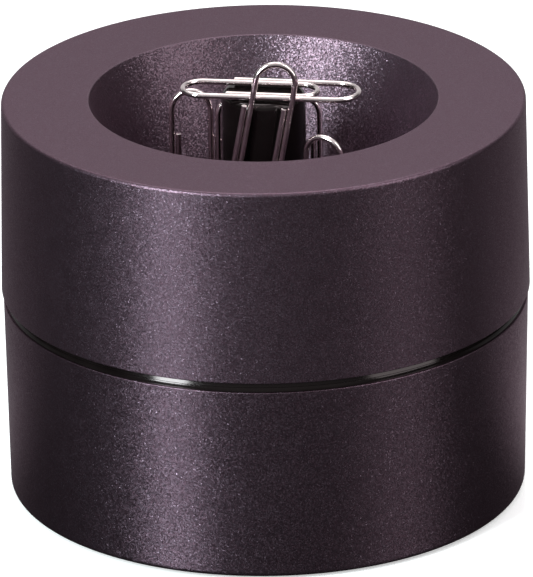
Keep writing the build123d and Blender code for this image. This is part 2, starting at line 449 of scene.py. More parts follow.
    def _bent_wire(self) -> bpy.types.NodeTree:
        """Tree that runs a round wire along a path, narrows its cut ends and notes how it runs.

        Returns:
            The finished tree.
        """
        number = "NodeSocketFloat"
        inputs = {"Wire Radius": number, "Sides": "NodeSocketInt", "End Taper": number}
        sheet, given = self._start("bent_wire", inputs)
        path = sheet.place("GeometryNodeMeshToCurve", {0: given.outputs["Shape"]}).outputs[0]
        along = sheet.place("GeometryNodeSplineParameter").outputs
        whole = sheet.place("GeometryNodeSplineLength").outputs["Length"]
        left_over = sheet.reckon("SUBTRACT", whole, along["Length"])
        to_end = sheet.reckon("MINIMUM", along["Length"], left_over)
        share = sheet.ramp(to_end, 0.0, given.outputs["End Taper"], self.cut_end_share, 1.0)
        noted = sheet.place(
            "GeometryNodeStoreNamedAttribute",
            {"Geometry": path, "Name": "wire_along", "Value": along["Length"]},
            data_type="FLOAT",
            domain="POINT",
        )
        tapered = sheet.place("GeometryNodeSetCurveRadius", {"Curve": noted.outputs[0], "Radius": share})
        ring = sheet.place(
            "GeometryNodeCurvePrimitiveCircle",
            {"Resolution": given.outputs["Sides"], "Radius": given.outputs["Wire Radius"]},
        )
        around = sheet.place("GeometryNodeSplineParameter").outputs["Factor"]
        section = sheet.place(
            "GeometryNodeStoreNamedAttribute",
            {"Geometry": ring.outputs[0], "Name": "wire_around", "Value": around},
            data_type="FLOAT",
            domain="POINT",
        )
        wire = sheet.place(
            "GeometryNodeCurveToMesh",
            {"Curve": tapered.outputs[0], "Profile Curve": section.outputs[0], "Fill Caps": True},
        )
        for socket in wire.inputs:
            if socket.name == "Scale":
                sheet.feed(socket, share)
        return self._end(sheet, wire.outputs[0], given)

    def make(
        self, name: str, tree: bpy.types.NodeTree, source: bpy.types.Mesh, values: dict[str, Any]
    ) -> bpy.types.Object:
        """Run a tree on a mesh and keep the result as a plain mesh object.

        Args:
            name: Name of the finished piece.
            tree: The tree to run.
            source: Mesh that goes into the tree.
            values: Value for each named input.

        Returns:
            The finished object, at the origin.
        """
        helper = bpy.data.objects.new(name + "_source", source)
        bpy.context.scene.collection.objects.link(helper)
        modifier = helper.modifiers.new("nodes", "NODES")
        modifier.node_group = tree
        for item in tree.interface.items_tree:
            if item.name in values and item.in_out == "INPUT":
                modifier[item.identifier] = values[item.name]
        helper.update_tag()
        graph = bpy.context.evaluated_depsgraph_get()
        graph.update()
        mesh = bpy.data.meshes.new_from_object(helper.evaluated_get(graph))
        helper.modifiers.remove(modifier)
        bpy.data.objects.remove(helper)
        mesh.name = name
        if signed_volume(mesh) < 0:
            mesh.flip_normals()
        piece = bpy.data.objects.new(name, mesh)
        bpy.context.scene.collection.objects.link(piece)
        return piece


def signed_volume(mesh: bpy.types.Mesh) -> float:
    """Volume that a closed mesh encloses, below zero where its faces point inwards.

    Args:
        mesh: The closed mesh.

    Returns:
        The volume in cubic metres.
    """
    mesh.calc_loop_triangles()
    total = 0.0
    for triangle in mesh.loop_triangles:
        first, second, third = (mesh.vertices[index].co for index in triangle.vertices)
        total += first.dot(second.cross(third)) / 6
    return total


def chain_mesh(name: str, points: list[Vector]) -> bpy.types.Mesh:
    """Mesh of points joined by edges, one after the other.

    Args:
        name: Name of the mesh.
        points: The points in order.

    Returns:
        The new mesh.
    """
    mesh = bpy.data.meshes.new(name)
    mesh.from_pydata(points, [(index, index + 1) for index in range(len(points) - 1)], [])
    return mesh


def joined(name: str, pieces: list[bpy.types.Object]) -> bpy.types.Object:
    """Join mesh objects that share one finish into one object.

    Args:
        name: Name of the joined piece.
        pieces: The objects to join, which go.

    Returns:
        The joined object.
    """
    with bpy.context.temp_override(active_object=pieces[0], selected_editable_objects=pieces):
        bpy.ops.object.join()
    pieces[0].name = name
    pieces[0].data.name = name
    return pieces[0]


class SharedEffects:
    """Shader node groups of the finishes, each built once."""

    cloud_detail: float = 5.0
    cloud_limits: tuple[float, float] = (0.3, 0.7)
    cell_middle: tuple[float, float, float] = (0.5, 0.5, 0.5)
    far_tilt_power: float = 6.0
    tilt_reach: tuple[float, float] = (0.95, 1.8)

    def __init__(self) -> None:
        """Build each group once."""
        self.smudges = self._smudges()
        self.facets = self._facets()

    def _group(
        self, name: str, inputs: dict[str, str], outputs: dict[str, str]
    ) -> tuple[NodeSheet, bpy.types.Node]:
        """New shader group.

        Args:
            name: Name of the group.
            inputs: Socket type for each input.
            outputs: Socket type for each output.

        Returns:
            The sheet to build on, and its input node.
        """
        tree = bpy.data.node_groups.new(name, "ShaderNodeTree")
        named_sockets(tree, inputs, outputs)
        sheet = NodeSheet(tree)
        return sheet, sheet.place("NodeGroupInput")

    def _smudges(self) -> bpy.types.NodeTree:
        """Group that gives a cloudy value between two limits, as handling leaves on a surface.

        Returns:
            The finished group.
        """
        number = "NodeSocketFloat"
        sheet, given = self._group(
            "handling_smudges",
            {"Vector": "NodeSocketVector", "Scale": number, "Low": number, "High": number},
            {"Value": number},
        )
        wanted = given.outputs
        cloud = sheet.place(
            "ShaderNodeTexNoise",
            {"Vector": wanted["Vector"], "Scale": wanted["Scale"], "Detail": self.cloud_detail},
        )
        spread = sheet.ramp(cloud.outputs["Fac"], *self.cloud_limits, wanted["Low"], wanted["High"])
        sheet.place("NodeGroupOutput", {0: spread})
        return sheet.tree

    def _facets(self) -> bpy.types.NodeTree:
        """Group of small facets, tilted more up and down than sideways, and a few of them tilted far.

        Returns:
            The finished group.
        """
        number, vector = "NodeSocketFloat", "NodeSocketVector"
        sheet, given = self._group(
            "small_facets",
            {"Vector": vector, "Normal": vector, "Fineness": number, "Tilt": number, "Sway": number},
            {"Normal": vector, "Shade": number},
        )
        wanted, kind = given.outputs, "ShaderNodeVectorMath"
        cells = sheet.place(
            "ShaderNodeTexVoronoi", {"Vector": wanted["Vector"], "Scale": wanted["Fineness"]}
        ).outputs
        centred = sheet.place(kind, {0: cells["Color"], 1: self.cell_middle}, operation="SUBTRACT")
        shares = sheet.place("ShaderNodeCombineXYZ", {"X": wanted["Sway"], "Y": wanted["Sway"], "Z": 1.0})
        upright = sheet.place(kind, {0: centred.outputs[0], 1: shares.outputs[0]}, operation="MULTIPLY")
        draw = sheet.place("ShaderNodeTexWhiteNoise", {"Vector": cells["Position"]}).outputs["Value"]
        far = sheet.reckon("POWER", draw, self.far_tilt_power)
        reach = sheet.reckon("MULTIPLY", sheet.ramp(far, 0.0, 1.0, *self.tilt_reach), wanted["Tilt"])
        tilt = sheet.place(kind, {0: upright.outputs[0], "Scale": reach}, operation="SCALE")
        leaning = sheet.place(kind, {0: wanted["Normal"], 1: tilt.outputs[0]}, operation="ADD")
        unit = sheet.place(kind, {0: leaning.outputs[0]}, operation="NORMALIZE")
        sheet.place("NodeGroupOutput", {"Normal": unit.outputs[0], "Shade": draw})
        return sheet.tree


class FinishSheet(NodeSheet):
    """A material under construction, with its surface shader in place."""

    def __init__(self, slot: Slot, effects: SharedEffects) -> None:
        """Start a material named after its slot.

        Args:
            slot: The record's slot that the finish belongs to.
            effects: The shared groups.
        """
        self.material = bpy.data.materials.new(slot.value + "_finish")
        self.material.use_nodes = True
        super().__init__(self.material.node_tree)
        self.tree.nodes.clear()
        self.effects = effects
        self.coords = self.place("ShaderNodeTexCoord").outputs["Object"]
        self.shader = self.place("ShaderNodeBsdfPrincipled")
        self.place("ShaderNodeOutputMaterial", {"Surface": self.shader.outputs[0]})

    def group(self, tree: bpy.types.NodeTree, feeds: dict[str, Any]) -> bpy.types.Node:
        """Place a shared group with its own values."""
        return self.place("ShaderNodeGroup", feeds, node_tree=tree)

    def smudged(self, scale: float, low: float, high: float) -> bpy.types.NodeSocket:
        """Cloudy value between two limits over the piece."""
        feeds = {"Vector": self.coords, "Scale": scale, "Low": low, "High": high}
        return self.group(self.effects.smudges, feeds).outputs["Value"]

    def surface(self, **feeds: Any) -> None:
        """Set or join inputs of the surface shader, spaces in their names written as underscores."""
        for name, value in feeds.items():
            self.feed(self.shader.inputs[name.replace("_", " ")], value)

    def bumped(self, height: bpy.types.NodeSocket, distance: float, strength: float) -> None:
        """Raise the surface by a height that varies over it."""
        feeds = {"Height": height, "Distance": distance, "Strength": strength}
        self.surface(Normal=self.place("ShaderNodeBump", feeds).outputs[0])


@dataclass(frozen=True)
class SparklePlastic:
    """Dark mauve plastic with a fine sparkling texture."""

    deep: Colour = (0.095, 0.053, 0.072, 1.0)
    light: Colour = (0.120, 0.087, 0.111, 1.0)
    edge_shade: Colour = (1.0, 0.85, 0.92, 1.0)
    fine_facet: float = 0.00011
    bold_facet: float = 0.000125
    upper_tilt: float = 0.37
    lower_tilt: float = 0.46
    bowl_tilt: float = 0.41
    upper_sway: float = 0.45
    lower_sway: float = 0.30
    dullness: tuple[float, float] = (0.37, 0.41)
    bowl_polish: float = 0.88
    lower_polish: float = 0.93
    bowl_metal: float = 0.84
    bowl_ior: float = 1.95
    cloud_scale: float = 420.0
    sizes: HolderSizes = field(default_factory=HolderSizes)

    def build(self, effects: SharedEffects) -> bpy.types.Material:
        """Make the material.

        Args:
            effects: The shared groups.

        Returns:
            The finished material.
        """
        sheet = FinishSheet(Slot.SPARKLE_PLASTIC, effects)
        bowl, below = self.bowl_share(sheet), self.lower_share(sheet)
        bold = sheet.reckon("MAXIMUM", bowl, below)
        outside = sheet.ramp(below, 0.0, 1.0, self.upper_tilt, self.lower_tilt)
        sideways = sheet.ramp(below, 0.0, 1.0, self.upper_sway, self.lower_sway)
        facets = sheet.group(
            effects.facets,
            {
                "Vector": sheet.coords,
                "Normal": sheet.place("ShaderNodeNewGeometry").outputs["Normal"],
                "Fineness": sheet.ramp(bold, 0.0, 1.0, 1 / self.fine_facet, 1 / self.bold_facet),
                "Tilt": sheet.ramp(bowl, 0.0, 1.0, outside, self.bowl_tilt),
                "Sway": sheet.ramp(bowl, 0.0, 1.0, sideways, 1.0),
            },
        )
        polish = sheet.reckon(
            "MULTIPLY",
            sheet.ramp(bowl, 0.0, 1.0, 1.0, self.bowl_polish),
            sheet.ramp(below, 0.0, 1.0, 1.0, self.lower_polish),
        )
        sheet.surface(
            Base_Color=sheet.mixed(facets.outputs["Shade"], self.deep, self.light),
            Metallic=sheet.ramp(bowl, 0.0, 1.0, 1.0, self.bowl_metal),
            IOR=self.bowl_ior,
            Roughness=sheet.reckon("MULTIPLY", polish, sheet.smudged(self.cloud_scale, *self.dullness)),
            Normal=facets.outputs["Normal"],
            Specular_Tint=self.edge_shade,
        )
        return sheet.material

    def bowl_share(self, sheet: FinishSheet) -> bpy.types.NodeSocket:
        """One within the bowl's mouth and zero outside it.

        Args:
            sheet: The material under construction.

        Returns:
            Socket with the share.
        """
        kind = "ShaderNodeVectorMath"
        level = sheet.place(kind, {0: sheet.coords, 1: (1, 1, 0)}, operation="MULTIPLY").outputs[0]
        away = sheet.place(kind, {0: level}, operation="LENGTH").outputs["Value"]
        mouth = self.sizes.bowl_mouth_diameter / 2
        return sheet.ramp(away, mouth, mouth + self.sizes.mouth_edge_radius, 1.0, 0.0)

    def lower_share(self, sheet: FinishSheet) -> bpy.types.NodeSocket:
        """One below the gap between the casing halves and zero above it."""
        height = sheet.place("ShaderNodeSeparateXYZ", {0: sheet.coords}).outputs["Z"]
        return sheet.ramp(height, self.sizes.lower_rim_height, self.sizes.upper_rim_height, 1.0, 0.0)


@dataclass(frozen=True)
class GlossPlastic:
    """Polished black plastic with faint smudges and fine dust."""

    deep: Colour = (0.0025, 0.0016, 0.0016, 1.0)
    light: Colour = (0.005, 0.0035, 0.0035, 1.0)
    sheen: Colour = (1.0, 0.86, 0.87, 1.0)
    ior: float = 1.42
    cloud_scale: float = 180.0
    dullness: tuple[float, float] = (0.10, 0.15)
    dust_size: float = 0.00035
    dust_depth: float = 0.000002
    dust_strength: float = 0.2

    def build(self, effects: SharedEffects) -> bpy.types.Material:
        """Make the material.

        Args:
            effects: The shared groups.

        Returns:
            The finished material.
        """
        sheet = FinishSheet(Slot.GLOSS_PLASTIC, effects)
        clouds = sheet.smudged(self.cloud_scale, 0.0, 1.0)
        sheet.surface(
            Base_Color=sheet.mixed(clouds, self.deep, self.light),
            Roughness=sheet.smudged(1 / self.dust_size, *self.dullness),
            IOR=self.ior,
            Specular_Tint=self.sheen,
        )
        dust = sheet.smudged(1 / self.dust_size, 0.0, 1.0)
        sheet.bumped(dust, self.dust_depth, self.dust_strength)
        return sheet.material


@dataclass(frozen=True)
class NickelWire:
    """Bright nickel wire with faint lines from drawing."""

    deep: Colour = (0.77, 0.66, 0.66, 1.0)
    light: Colour = (0.93, 0.82, 0.83, 1.0)
    cloud_scale: float = 700.0
    dullness: tuple[float, float] = (0.10, 0.20)
    lines_around: float = 40.0
    lines_along: float = 160.0
    line_detail: float = 3.0
    line_depth: float = 0.000004
    line_strength: float = 0.35

    def build(self, effects: SharedEffects) -> bpy.types.Material:
        """Make the material.

        Args:
            effects: The shared groups.

        Returns:
            The finished material.
        """
        sheet = FinishSheet(Slot.CLIP_STEEL, effects)
        along = sheet.place("ShaderNodeAttribute", attribute_name="wire_along").outputs["Fac"]
        around = sheet.place("ShaderNodeAttribute", attribute_name="wire_around").outputs["Fac"]
        drawn = sheet.place(
            "ShaderNodeCombineXYZ",
            {
                "X": sheet.reckon("MULTIPLY", along, self.lines_along),
                "Y": sheet.reckon("MULTIPLY", around, self.lines_around),
            },
        )
        feeds = {"Vector": drawn.outputs[0], "Scale": 1.0, "Detail": self.line_detail}
        lines = sheet.place("ShaderNodeTexNoise", feeds).outputs["Fac"]
        sheet.surface(
            Base_Color=sheet.mixed(lines, self.deep, self.light),
            Metallic=1.0,
            Roughness=sheet.smudged(self.cloud_scale, *self.dullness),
        )
        sheet.bumped(lines, self.line_depth, self.line_strength)
        return sheet.material


@dataclass(frozen=True)
class PlainFinish:
    """Finish of a hidden piece: two close colours, a cloudy roughness and a fine grain."""

    slot: Slot
    deep: Colour
    light: Colour
    metallic: float
    dullness: tuple[float, float]
    grain_size: float
    grain_depth: float
    grains_in_cloud: float = 5.0
    grain_strength: float = 0.5

    def build(self, effects: SharedEffects) -> bpy.types.Material:
        """Make the material.

        Args:
            effects: The shared groups.

        Returns:
            The finished material.
        """
        sheet = FinishSheet(self.slot, effects)
        grain = sheet.smudged(1 / self.grain_size, 0.0, 1.0)
        sheet.surface(
            Base_Color=sheet.mixed(grain, self.deep, self.light),
            Metallic=self.metallic,
            Roughness=sheet.smudged(1 / (self.grains_in_cloud * self.grain_size), *self.dullness),
        )
        sheet.bumped(grain, self.grain_depth, self.grain_strength)
        return sheet.material


def hidden_finishes() -> list[PlainFinish]:
    """Finishes of the pieces inside and under the holder.

    Returns:
        One finish for each of their slots.
    """
    return [
        PlainFinish(
            Slot.INNER_PLASTIC,
            deep=(0.02, 0.02, 0.02, 1.0),
            light=(0.035, 0.034, 0.034, 1.0),
            metallic=0.0,
            dullness=(0.4, 0.6),
            grain_size=0.0004,
            grain_depth=0.00001,
        ),
        PlainFinish(
            Slot.MAGNET,
            deep=(0.42, 0.41, 0.39, 1.0),
            light=(0.56, 0.55, 0.52, 1.0),
            metallic=1.0,
            dullness=(0.18, 0.32),
            grain_size=0.0003,
            grain_depth=0.000004,
        ),
        PlainFinish(
            Slot.BASE_STEEL,
            deep=(0.30, 0.30, 0.31, 1.0),
            light=(0.43, 0.43, 0.44, 1.0),
            metallic=1.0,
            dullness=(0.35, 0.55),
            grain_size=0.0005,
            grain_depth=0.00001,
        ),
        PlainFinish(
            Slot.SCREW_STEEL,
            deep=(0.46, 0.46, 0.44, 1.0),
            light=(0.62, 0.62, 0.60, 1.0),
            metallic=1.0,
            dullness=(0.22, 0.4),
            grain_size=0.0003,
            grain_depth=0.000004,
        ),
        PlainFinish(
            Slot.PAD_RUBBER,
            deep=(0.014, 0.014, 0.015, 1.0),
            light=(0.028, 0.028, 0.029, 1.0),
            metallic=0.0,
            dullness=(0.7, 0.9),
            grain_size=0.0003,
            grain_depth=0.00003,
        ),
    ]


@dataclass
class Workshop:
    """What every sub-assembly needs: the sizes, the outline maker, the trees and the materials."""

    sizes: HolderSizes = field(default_factory=HolderSizes)
    outlines: OutlineMaker = field(default_factory=OutlineMaker)
    trees: TreeMaker = field(default_factory=TreeMaker)
    finishes: dict[Slot, bpy.types.Material] = field(default_factory=dict)

    def mix_finishes(self) -> None:
        """Make each material once."""
        effects = SharedEffects()
        self.finishes[Slot.SPARKLE_PLASTIC] = SparklePlastic().build(effects)
        self.finishes[Slot.GLOSS_PLASTIC] = GlossPlastic().build(effects)
        self.finishes[Slot.CLIP_STEEL] = NickelWire().build(effects)
        for finish in hidden_finishes():
            self.finishes[finish.slot] = finish.build(effects)

    def turned(
        self, name: str, corners: Outline, rounds: list[Round], slot: Slot, segments: int = 288
    ) -> bpy.types.Object:
        """Turned piece from its half section.

        Args:
            name: Name of the piece.
            corners: Corners of the half section as (radius, height).
            rounds: Corner and radius of each rounded corner.
            slot: Slot that its finish belongs to.
            segments: Number of steps in a full turn.

        Returns:
            The finished object.
        """
        outline = self.outlines.closed(corners, rounds)
        path = [Vector((radius, 0.0, height)) for radius, height in outline]
        values = {"Segments": segments, "Finish": self.finishes[slot]}
        return self.trees.make(name, self.trees.turned_tree, chain_mesh(name + "_outline", path), values)

    def ring_of(
        self, piece: bpy.types.Object, circle: float, start: float, slot: Slot
    ) -> bpy.types.Object:
        """Copies of a piece on a circle about Z, one for each screw of a set.

        Args:
            piece: The piece to repeat, which goes.
            circle: Diameter of the circle.
            start: Angle of the first copy in degrees.
            slot: Slot that its finish belongs to.

        Returns:
            The finished object.
        """
        values = {
            "Count": self.sizes.screws_per_set,
            "Circle Radius": circle / 2,
            "Start Angle": radians(start),
            "Finish": self.finishes[slot],
        }
        copies = self.trees.make(piece.name + "_ring", self.trees.ring_tree, piece.data, values)
        bpy.data.objects.remove(piece)
        return copies

    def deliver(self, piece: bpy.types.Object, node: str, body: str, slot: Slot) -> None:
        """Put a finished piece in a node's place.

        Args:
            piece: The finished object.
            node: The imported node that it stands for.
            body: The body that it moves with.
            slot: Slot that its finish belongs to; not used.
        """
        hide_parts(node)
        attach(piece, body)
        spans = [(end - start) * MM_PER_METRE for start, end in zip(*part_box(node))]
        span = ", ".join(f"{length:.1f}" for length in spans)
        faces = len(piece.data.polygons)
        LOG.info("%s for %s: %d faces in a box of %s mm", piece.name, node, faces, span)


@dataclass
class Casing:
    """Both casing halves with their screw bosses, and the glossy ring between them."""

    shop: Workshop
    body: str = "holder"
    screw_set_in: float = 0.0090
    screw_start: float = 90.0
    boss_diameter: float = 0.0066
    tower_diameter: float = 0.0090
    joint_height: float = 0.0200
    tower_ledge: float = 0.0030
    shank: float = 0.0030
    head: float = 0.0056
    small_circle: float = 0.0264
    small_boss_diameter: float = 0.0050
    small_shank: float = 0.0022
    inner_start: float = 30.0
    weight_thickness: float = 0.0030
    weight_circle: float = 0.0300
    weight_boss_diameter: float = 0.0060
    weight_shank: float = 0.0026
    ring_recess: float = 0.00115
    ring_flare: float = 0.00035
    ring_bead_height: float = 0.0006
    ring_bead_ledge: float = 0.0001
    ring_bead_flare: float = 0.00014
    ring_bead_foot: float = 0.00015
    ring_sleeve_height: float = 0.0030
    ring_sleeve_wall: float = 0.0020
    ring_edge_radius: float = 0.00004
    boss_segments: int = 48

    def build(self) -> None:
        """Make the three turned pieces."""
        self.upper()
        self.lower()
        self.ring()

    @property
    def screw_circle(self) -> float:
        """Diameter of the circle of casing screws."""
        return self.shop.sizes.casing_diameter - 2 * self.screw_set_in

    def boss(self, name: str, bore: float, radius: float, low: float, high: float) -> bpy.types.Object:
        """Round boss with a bore, on the Z axis between two heights."""
        corners = [(bore, low), (radius, low), (radius, high), (bore, high)]
        return self.shop.turned(name, corners, [], Slot.SPARKLE_PLASTIC, self.boss_segments)

    def upper(self) -> None:
        """Upper half: the turned shell with its bosses."""
        pieces = [self.upper_shell(), *self.upper_bosses()]
        self.shop.deliver(joined("upper_shell", pieces), "upper_casing", self.body, Slot.SPARKLE_PLASTIC)

    def upper_shell(self) -> bpy.types.Object:
        """Outer skirt, flat top ring and bowl in one turned shell.

        Returns:
            The turned shell.
        """
        size = self.shop.sizes
        ceiling = size.ceiling_height
        rise = size.holder_height - size.upper_rim_height
        across = size.wall * (1 + size.bowl_slope**2) ** 0.5
        hole = size.post_diameter / 2 + size.close_gap
        lip = (size.upper_low_radius, size.upper_rim_height)
        shoulder = (size.drafted(size.upper_low_radius, rise), size.holder_height)
        mouth = (size.bowl_mouth_diameter / 2, size.holder_height)
        floor = (size.bowl_floor_diameter / 2, size.bowl_floor_height)
        under = (size.bowl_radius(size.bowl_under_height) + across, size.bowl_under_height)
        behind = (size.bowl_radius(ceiling) + across, ceiling)
        skirt = (size.drafted(size.upper_low_radius, rise - size.wall) - size.wall, ceiling)
        corners = [
            (size.upper_low_radius - size.wall, size.upper_rim_height),
            lip,
            shoulder,
            mouth,
            floor,
            (hole, size.bowl_floor_height),
            (hole, size.bowl_under_height),
            under,
            behind,
            skirt,
        ]
        rounds = [
            (lip, size.parting_edge_radius),
            (shoulder, size.top_edge_radius),
            (mouth, size.mouth_edge_radius),
            (floor, size.bowl_corner_radius),
            (under, size.bowl_corner_radius + size.wall),
            (behind, size.inside_corner_radius),
            (skirt, size.inside_corner_radius),
        ]
        return self.shop.turned("upper_turned", corners, rounds, Slot.SPARKLE_PLASTIC)

    def upper_bosses(self) -> list[bpy.types.Object]:
        """Bosses for the casing screws and for the screws that hold the magnet's retainer.

        Returns:
            The two rings of bosses.
        """
        size, slot = self.shop.sizes, Slot.SPARKLE_PLASTIC
        bore = self.shank / 2 + size.screw_gap
        top = size.ceiling_height + size.wall / 2
        boss = self.boss("upper_boss", bore, self.boss_diameter / 2, self.joint_height, top)
        small_bore = self.small_shank / 2 + size.screw_gap
        small_radius = self.small_boss_diameter / 2
        small_top = size.bowl_under_height + size.wall / 2
        small = self.boss("retainer_boss", small_bore, small_radius, size.flange_under_height, small_top)
        return [
            self.shop.ring_of(boss, self.screw_circle, self.screw_start, slot),
            self.shop.ring_of(small, self.small_circle, self.inner_start, slot),
        ]

    def lower(self) -> None:
        """Lower half: the cup with its screw towers and the bosses of the base weight."""
        pieces = [self.lower_cup(), *self.lower_bosses()]
        self.shop.deliver(joined("lower_shell", pieces), "lower_casing", self.body, Slot.SPARKLE_PLASTIC)

    def lower_cup(self) -> bpy.types.Object:
        """Turned cup with its pad recess.

        Returns:
            The turned cup.
        """
        size = self.shop.sizes
        foot = (size.base_radius, size.pad_stand_out)
        lip = (size.lower_top_radius, size.lower_rim_height)
        corner = (size.base_radius - size.wall, size.lower_floor_height)
        recess = size.base_radius - size.pad_rim_width
        corners = [
            (0.0, size.pad_thickness),
            (recess, size.pad_thickness),
            (recess, size.pad_stand_out),
            foot,
            lip,
            (size.lower_top_radius - size.wall, size.lower_rim_height),
            corner,
            (0.0, size.lower_floor_height),
        ]
        rounds = [
            (foot, size.base_edge_radius),
            (lip, size.parting_edge_radius),
            (corner, size.inside_corner_radius),
        ]
        return self.shop.turned("lower_turned", corners, rounds, Slot.SPARKLE_PLASTIC)

    def lower_bosses(self) -> list[bpy.types.Object]:
        """Hollow towers for the casing screws and bosses for the screws of the base weight.

        Returns:
            The ring of towers and the ring of bosses.
        """
        size, slot = self.shop.sizes, Slot.SPARKLE_PLASTIC
        middle = size.pad_thickness + size.wall / 2
        well = self.head / 2 + size.locating_gap
        hole = self.shank / 2 + size.screw_gap
        seat = self.joint_height - self.tower_ledge
        outside = self.tower_diameter / 2
        profile = [
            (well, middle),
            (outside, middle),
            (outside, self.joint_height),
            (hole, self.joint_height),
            (hole, seat),
            (well, seat),
        ]
        tower = self.shop.turned("screw_tower", profile, [], slot, self.boss_segments)
        pilot = self.weight_shank / 2 + size.screw_gap
        boss_top = size.lower_floor_height + self.weight_thickness
        boss = self.boss("weight_boss", pilot, self.weight_boss_diameter / 2, middle, boss_top)
        return [
            self.shop.ring_of(tower, self.screw_circle, self.screw_start, slot),
            self.shop.ring_of(boss, self.weight_circle, self.inner_start, slot),
        ]

    def ring(self) -> None:
        """Flared glossy band over a small bead, with its hidden sleeves."""
        size, slot = self.shop.sizes, Slot.GLOSS_PLASTIC
        band_top = size.upper_low_radius - self.ring_recess
        band_foot = band_top + self.ring_flare
        bead_top = band_foot + self.ring_bead_ledge
        bead_foot = bead_top + self.ring_bead_flare
        ledge = size.lower_rim_height + self.ring_bead_height
        upper_sleeve = size.upper_low_radius - size.wall - size.locating_gap
        lower_sleeve = size.lower_top_radius - size.wall - size.locating_gap
        inside = lower_sleeve - self.ring_sleeve_wall
        bead = (bead_top, ledge)
        corners = [
            (inside, size.lower_rim_height - self.ring_sleeve_height),
            (lower_sleeve, size.lower_rim_height - self.ring_sleeve_height),
            (lower_sleeve, size.lower_rim_height),
            (bead_foot, size.lower_rim_height),
            (bead_foot, size.lower_rim_height + self.ring_bead_foot),
            bead,
            (band_foot, ledge),
            (band_top, size.upper_rim_height),
            (upper_sleeve, size.upper_rim_height),
            (upper_sleeve, size.upper_rim_height + self.ring_sleeve_height),
            (inside, size.upper_rim_height + self.ring_sleeve_height),
        ]
        band = self.shop.turned("gap_band", corners, [(bead, self.ring_edge_radius)], slot)
        self.shop.deliver(band, "gap_ring", self.body, slot)


@dataclass
class MagnetPost:
    """Glossy post in the middle of the bowl, with the flange that holds it under the floor."""

    shop: Workshop
    body: str = "holder"
    wall: float = 0.0012
    shoulder_radius: float = 0.0010
    flange_diameter: float = 0.0200
    segments: int = 144

    def build(self) -> None:
        """Make the closed tube."""
        size, slot = self.shop.sizes, Slot.GLOSS_PLASTIC
        radius = size.post_diameter / 2
        bore = radius - self.wall
        bore_top = size.post_top_height - self.wall
        shoulder = (radius, size.post_top_height)
        corners = [
            (bore, size.flange_under_height),
            (self.flange_diameter / 2, size.flange_under_height),
            (self.flange_diameter / 2, size.bowl_under_height),
            (radius, size.bowl_under_height),
            shoulder,
            (0.0, size.post_top_height),
            (0.0, bore_top),
            (bore, bore_top),
        ]
        rounds = [(shoulder, self.shoulder_radius)]
        tube = self.shop.turned("post_tube", corners, rounds, slot, self.segments)
        self.shop.deliver(tube, "post_sleeve", self.body, slot)


@dataclass
class FootPad:
    """Moulded rubber disc in the recess under the casing."""

    shop: Workshop
    body: str = "holder"
    edge_radius: float = 0.0005

    def build(self) -> None:
        """Make the disc with its rounded lower edge."""
        size, slot = self.shop.sizes, Slot.PAD_RUBBER
        radius = size.base_radius - size.pad_rim_width - size.locating_gap
        edge = (radius, 0.0)
        corners = [(0.0, 0.0), edge, (radius, size.pad_thickness), (0.0, size.pad_thickness)]
        pad = self.shop.turned("rubber_foot", corners, [(edge, self.edge_radius)], slot)
        self.shop.deliver(pad, "foot_pad", self.body, slot)


@dataclass(frozen=True)
class ClipPlace:
    """Where a clip rests: its middle, the side of its full leg and the way its single bend points."""

    node: str
    body: str
    middle: Vector
    leg_side: Vector
    bend_way: Vector


